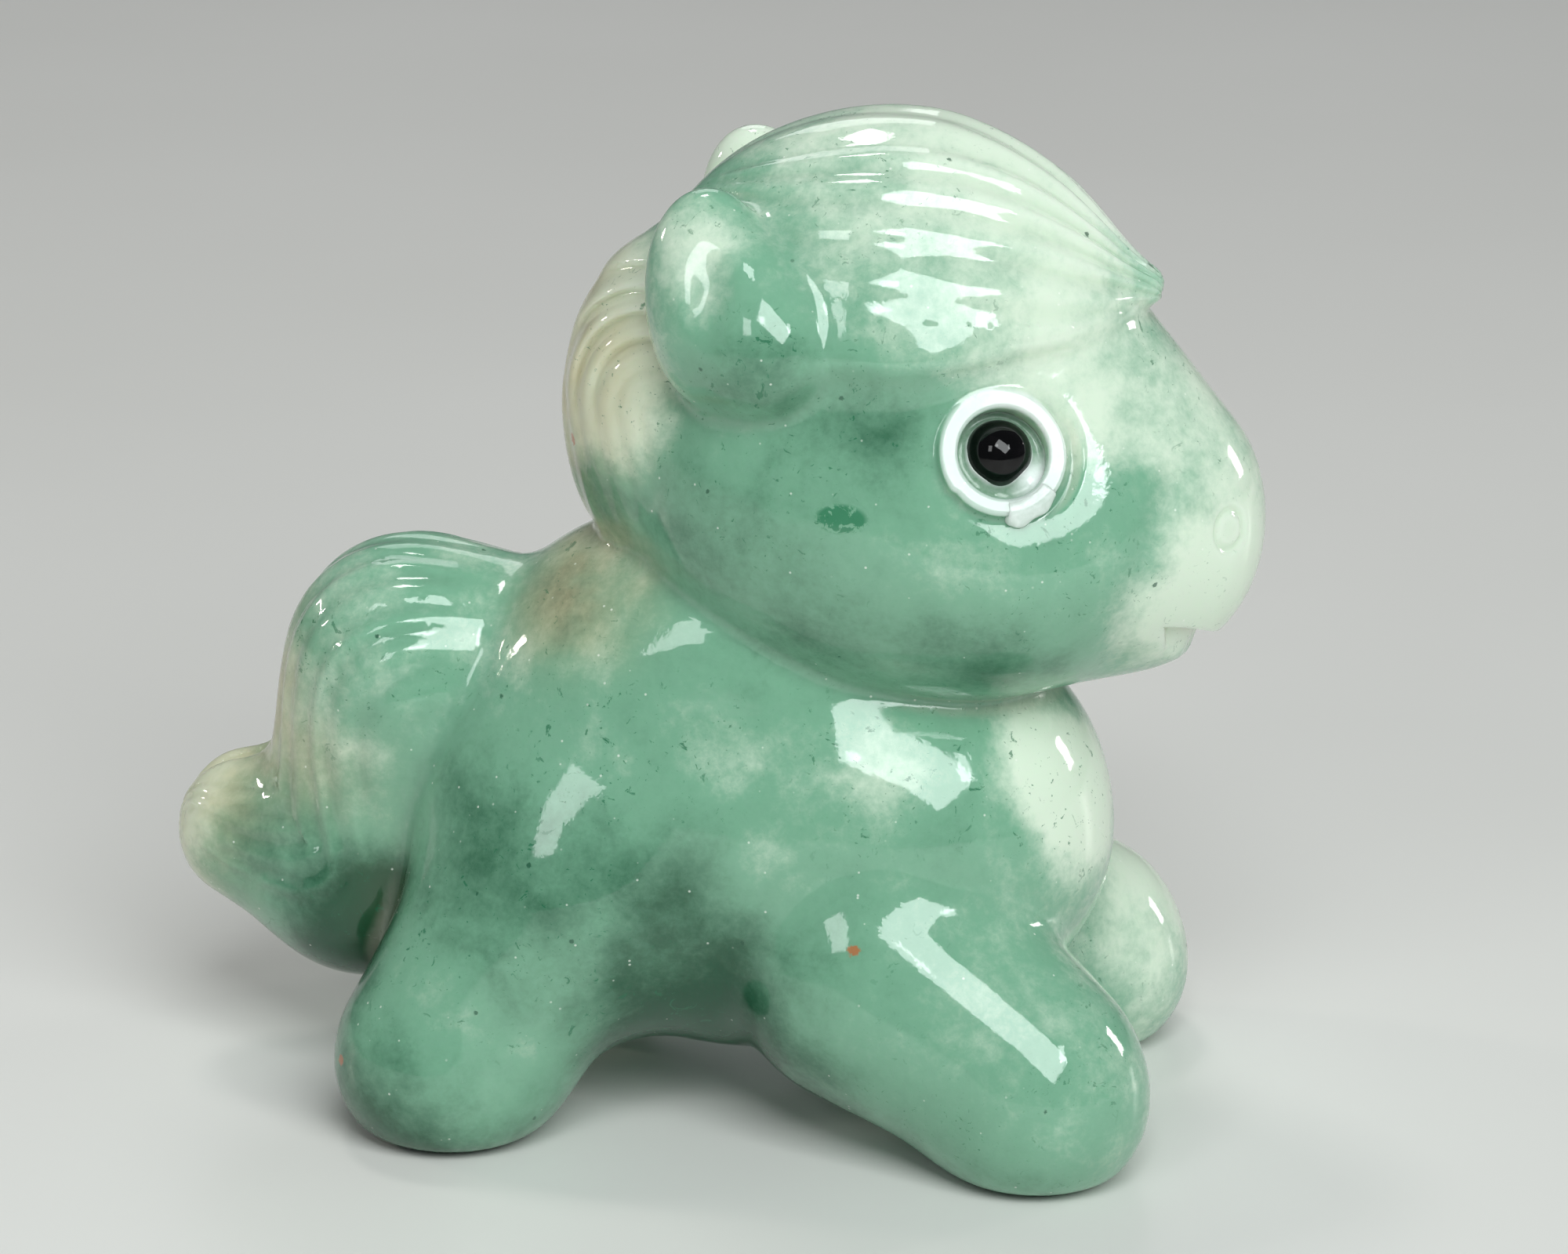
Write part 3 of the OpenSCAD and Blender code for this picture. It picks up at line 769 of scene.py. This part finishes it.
def bead_material():
    n = Nodes("OnyxBead")
    cloud = n.noise(1.4, 3.0, 0.5, 0.4, 4.0)
    color = n.mix(n.ramp(cloud, 0.45, 0.75), srgb(4, 4, 5), srgb(16, 13, 16))
    n.link(color, n.shader.inputs["Base Color"])
    rough = n.math("ADD", 0.035, n.math("MULTIPLY", n.noise(3.0, 3.0, 0.6, 0.0, 7.0), 0.03))
    n.link(rough, n.shader.inputs["Roughness"])
    n.shader.inputs["IOR"].default_value = 1.4
    relief = n.add("ShaderNodeBump")
    relief.inputs["Strength"].default_value = 0.6
    relief.inputs["Distance"].default_value = MM
    n.link(n.math("MULTIPLY", n.noise(2.2, 2.0, 0.5, 0.0, 2.5), 0.01), relief.inputs["Height"])
    n.link(relief.outputs[0], n.shader.inputs["Normal"])
    return n.material


def glue_material():
    n = Nodes("ResinGlue")
    milk = n.add("ShaderNodeAttribute", attribute_name="milk").outputs["Fac"]
    cloud = n.noise(2.4, 3.0, 0.6, 0.6, 6.0)
    milk = n.math("ADD", milk, n.math("MULTIPLY", n.math("SUBTRACT", cloud, 0.5), 0.6), clamp=True)
    color = n.mix(milk, srgb(124, 160, 134), srgb(238, 246, 242))
    n.link(color, n.shader.inputs["Base Color"])
    n.link(n.ramp(cloud, 0.3, 0.8, 0.05, 0.14), n.shader.inputs["Roughness"])
    n.shader.inputs["IOR"].default_value = 1.47
    n.shader.inputs["Subsurface Weight"].default_value = 0.6
    n.shader.inputs["Subsurface Radius"].default_value = (1.0, 1.0, 1.0)
    n.shader.inputs["Subsurface Scale"].default_value = 0.4 * MM
    return n.material


def floor_material():
    n = Nodes("StudioPaper")
    tone = n.noise(0.02, 3.0, 0.5, 0.0, 1.0)
    color = n.mix(tone, srgb(226, 225, 221), srgb(234, 233, 230))
    n.link(color, n.shader.inputs["Base Color"])
    n.shader.inputs["Roughness"].default_value = 0.32
    n.shader.inputs["IOR"].default_value = 1.3
    return n.material


# ---------------------------------------------------------------- eyes
def side_frame(side):
    """The eye's own axes on one side, as a 4x4 matrix in millimetres."""
    r = Matrix(eye_axes().tolist()).to_4x4()
    place = Matrix.Translation(Vector(EYE_AT)) @ r
    return Matrix.Diagonal((1, side, 1, 1)) @ place


def link_mesh(name, bm, material, side):
    if side < 0:
        bmesh.ops.reverse_faces(bm, faces=bm.faces[:])
    bmesh.ops.transform(bm, matrix=Matrix.Scale(MM, 4), verts=bm.verts[:])
    mesh = bpy.data.meshes.new(name)
    bm.to_mesh(mesh)
    bm.free()
    for p in mesh.polygons:
        p.use_smooth = True
    obj = bpy.data.objects.new(name, mesh)
    bpy.context.scene.collection.objects.link(obj)
    mesh.materials.append(material)
    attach(obj, "root")
    return obj


def bead_centre():
    return Vector((BEAD_DOWN, BEAD_BACK, RIM_H - SOCKET_DEPTH + GLUE_FILM + BEAD_D / 2))


def build_bead(side, name, node, material):
    bm = bmesh.new()
    bmesh.ops.create_icosphere(bm, subdivisions=5, radius=BEAD_D / 2)
    for v in bm.verts:
        v.co = v.co * (1 - 0.004 * (1 - v.normal.z) * abs(math.sin(3 * v.co.x + 1))) + bead_centre()
    bmesh.ops.transform(bm, matrix=side_frame(side), verts=bm.verts[:])
    obj = link_mesh(name, bm, material, side)
    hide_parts(node)
    return obj


def glue_section(deg):
    """Places (radius, height, milkiness) across the glue at one clock angle, from the bead outwards."""
    clock = math.radians(deg)
    pool = max(0.0, math.cos(math.radians(deg - POOL_CLOCK))) ** 6
    left = max(0.0, math.cos(math.radians(deg - BACK_CLOCK))) ** 2
    level = -0.76 + 0.5 * pool + 0.22 * left + 0.04 * math.sin(5 * clock + 1)
    bead_z = RIM_H - SOCKET_DEPTH + GLUE_FILM + BEAD_D / 2
    rest = math.sqrt((BEAD_D / 2) ** 2 - (level - bead_z) ** 2)
    shift = -BEAD_DOWN * math.cos(clock) - BEAD_BACK * math.sin(clock)
    inner, outer = rest + shift - 0.05, SOCKET_D / 2 + 0.03
    places = []
    for j in range(19):
        v = j / 18
        climb = 0.16 * math.exp(-v / 0.1) + 0.08 * math.exp(-(1 - v) / 0.1) - 0.1 * math.sin(math.pi * v)
        milky = max(math.exp(-((v / 0.14) ** 2)), pool, 0.1)
        places.append((inner + (outer - inner) * v, level + climb, milky))
    run = smooth(deg, 116, 132) * smooth(deg, 190, 180)
    reach = 0.36 * math.exp(-(((deg - 170) / 11) ** 2)) + 0.22 * math.exp(-(((deg - 147) / 10) ** 2))
    over = (
        (2.06, RIM_H - 0.1), (2.25, RIM_H + 0.03), (2.55, RIM_H + 0.04), (2.75, RIM_H + 0.02),
        (2.88, RIM_H - 0.1),
        (2.94 + 0.5 * reach, 0.12), (2.94 + reach, 0.03), (2.98 + reach, -0.15),
    )
    for r, z in over:
        places.append((2.06 + (r - 2.06) * run, -1.3 + (z + 1.3) * run, 0.75))
    return places


def smooth(x, lo, hi):
    t = min(max((x - lo) / (hi - lo), 0.0), 1.0)
    return t * t * (3 - 2 * t)


def build_glue(side, name, node, material):
    """The resin that beds the bead: a ring that climbs unevenly, with a run over the rim's foot."""
    around = 180
    sections = [glue_section(360 * i / around) for i in range(around)]
    bm = bmesh.new()
    milk = bm.verts.layers.float.new("milk")

    def point(i, r, z, milky):
        clock = 2 * math.pi * i / around
        v = bm.verts.new((-math.cos(clock) * r, -math.sin(clock) * r, z))
        v[milk] = milky
        return v

    rings = [[point(i, *sections[i][j]) for i in range(around)] for j in range(len(sections[0]))]
    foot = RIM_H - SOCKET_DEPTH
    rings.append([point(i, SOCKET_D / 2, foot, 0) for i in range(around)])
    rings.append([point(i, 0.4, foot, 0) for i in range(around)])
    for a, b in zip(rings, rings[1:] + rings[:1]):
        for i in range(around):
            k = (i + 1) % around
            bm.faces.new((a[i], b[i], b[k], a[k]))
    bmesh.ops.recalc_face_normals(bm, faces=bm.faces[:])
    bmesh.ops.transform(bm, matrix=side_frame(side), verts=bm.verts[:])
    obj = link_mesh(name, bm, material, side)
    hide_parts(node)
    return obj


# ---------------------------------------------------------------- stage, light and camera
CENTRE = (3.7, 0, 22.8)


def direction(az, el):
    a, e = math.radians(az), math.radians(el)
    return Vector((math.sin(a) * math.cos(e), -math.cos(a) * math.cos(e), math.sin(e)))


def area_light(name, az, el, far, wide, tall, glow, tint=(1, 1, 1), roll=0.0):
    """A softbox far millimetres from the pony, aimed at it. glow is its radiance."""
    light = bpy.data.lights.new(name, "AREA")
    light.shape = "RECTANGLE"
    light.size, light.size_y = wide * MM, tall * MM
    light.color = tint
    light.energy = glow * math.pi * light.size * light.size_y
    obj = bpy.data.objects.new(name, light)
    bpy.context.scene.collection.objects.link(obj)
    back = direction(az, el)
    aim = back.to_track_quat("Z", "Y").to_matrix().to_4x4()
    turn = aim @ Matrix.Rotation(math.radians(roll), 4, "Z")
    obj.matrix_world = Matrix.Translation((Vector(CENTRE) + back * far) * MM) @ turn
    obj.visible_camera = False
    return obj


# name, azimuth, elevation, distance, width, height, radiance, tint and roll of each softbox or lamp
LIGHTS = (
    ("KeySoftbox", 28, 42, 480, 235, 400, 6.5, (0.95, 1.0, 1.0), 42),
    ("FrontSoftbox", -22, 33, 520, 110, 170, 4.5, (0.97, 1.0, 1.0), 10),
    ("SmallSoftbox", 4, 46, 500, 70, 70, 6.0, (0.97, 1.0, 1.0), 0),
    ("BrowStrip", 54, 36, 500, 45, 110, 7.0, (0.95, 1.0, 1.0), -20),
    ("LeftLamp", -98, 18, 500, 34, 34, 60, (1.0, 0.93, 0.82)),
    ("BackSoftbox", 196, 38, 560, 260, 260, 1.6, (0.97, 1.0, 1.0)),
    ("RimLamp", 122, 12, 500, 60, 110, 14, (1.0, 0.97, 0.92)),
    ("TopLamp", -142, 70, 520, 90, 90, 12, (1.0, 0.98, 0.95)),
)


def build_lights():
    for light in LIGHTS:
        area_light(*light)
    world = bpy.data.worlds.new("Studio")
    world.use_nodes = True
    world.node_tree.nodes["Background"].inputs["Color"].default_value = (0.9, 0.95, 1.0, 1)
    world.node_tree.nodes["Background"].inputs["Strength"].default_value = 0.12
    bpy.context.scene.world = world


def build_floor(material):
    bm = bmesh.new()
    bmesh.ops.create_grid(bm, x_segments=8, y_segments=8, size=2.5)
    mesh = bpy.data.meshes.new("StudioFloor")
    bm.to_mesh(mesh)
    bm.free()
    mesh.materials.append(material)
    obj = bpy.data.objects.new("StudioFloor", mesh)
    bpy.context.scene.collection.objects.link(obj)


def build_camera():
    cam = bpy.data.cameras.new("Camera")
    cam.sensor_width = 36
    distance, across = 250, 72.7
    cam.lens = 36 * distance / across
    cam.clip_start, cam.clip_end = 0.005, 20
    obj = bpy.data.objects.new("Camera", cam)
    bpy.context.scene.collection.objects.link(obj)
    back = direction(10, 19)
    obj.matrix_world = Matrix.Translation((Vector(CENTRE) + back * distance) * MM) @ back.to_track_quat(
        "Z", "Y").to_matrix().to_4x4()
    bpy.context.scene.camera = obj


def main():
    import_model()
    bpy.context.scene.view_settings.view_transform = "Standard"
    build_camera()
    build_lights()
    build_floor(floor_material())
    build_stone()
    bead, glue = bead_material(), glue_material()
    for side, name in ((-1, "right"), (1, "left")):
        build_bead(side, "EyeBead_" + name, "eye_bead_" + name, bead)
        build_glue(side, "EyeGlue_" + name, "eye_glue_" + name, glue)


main()
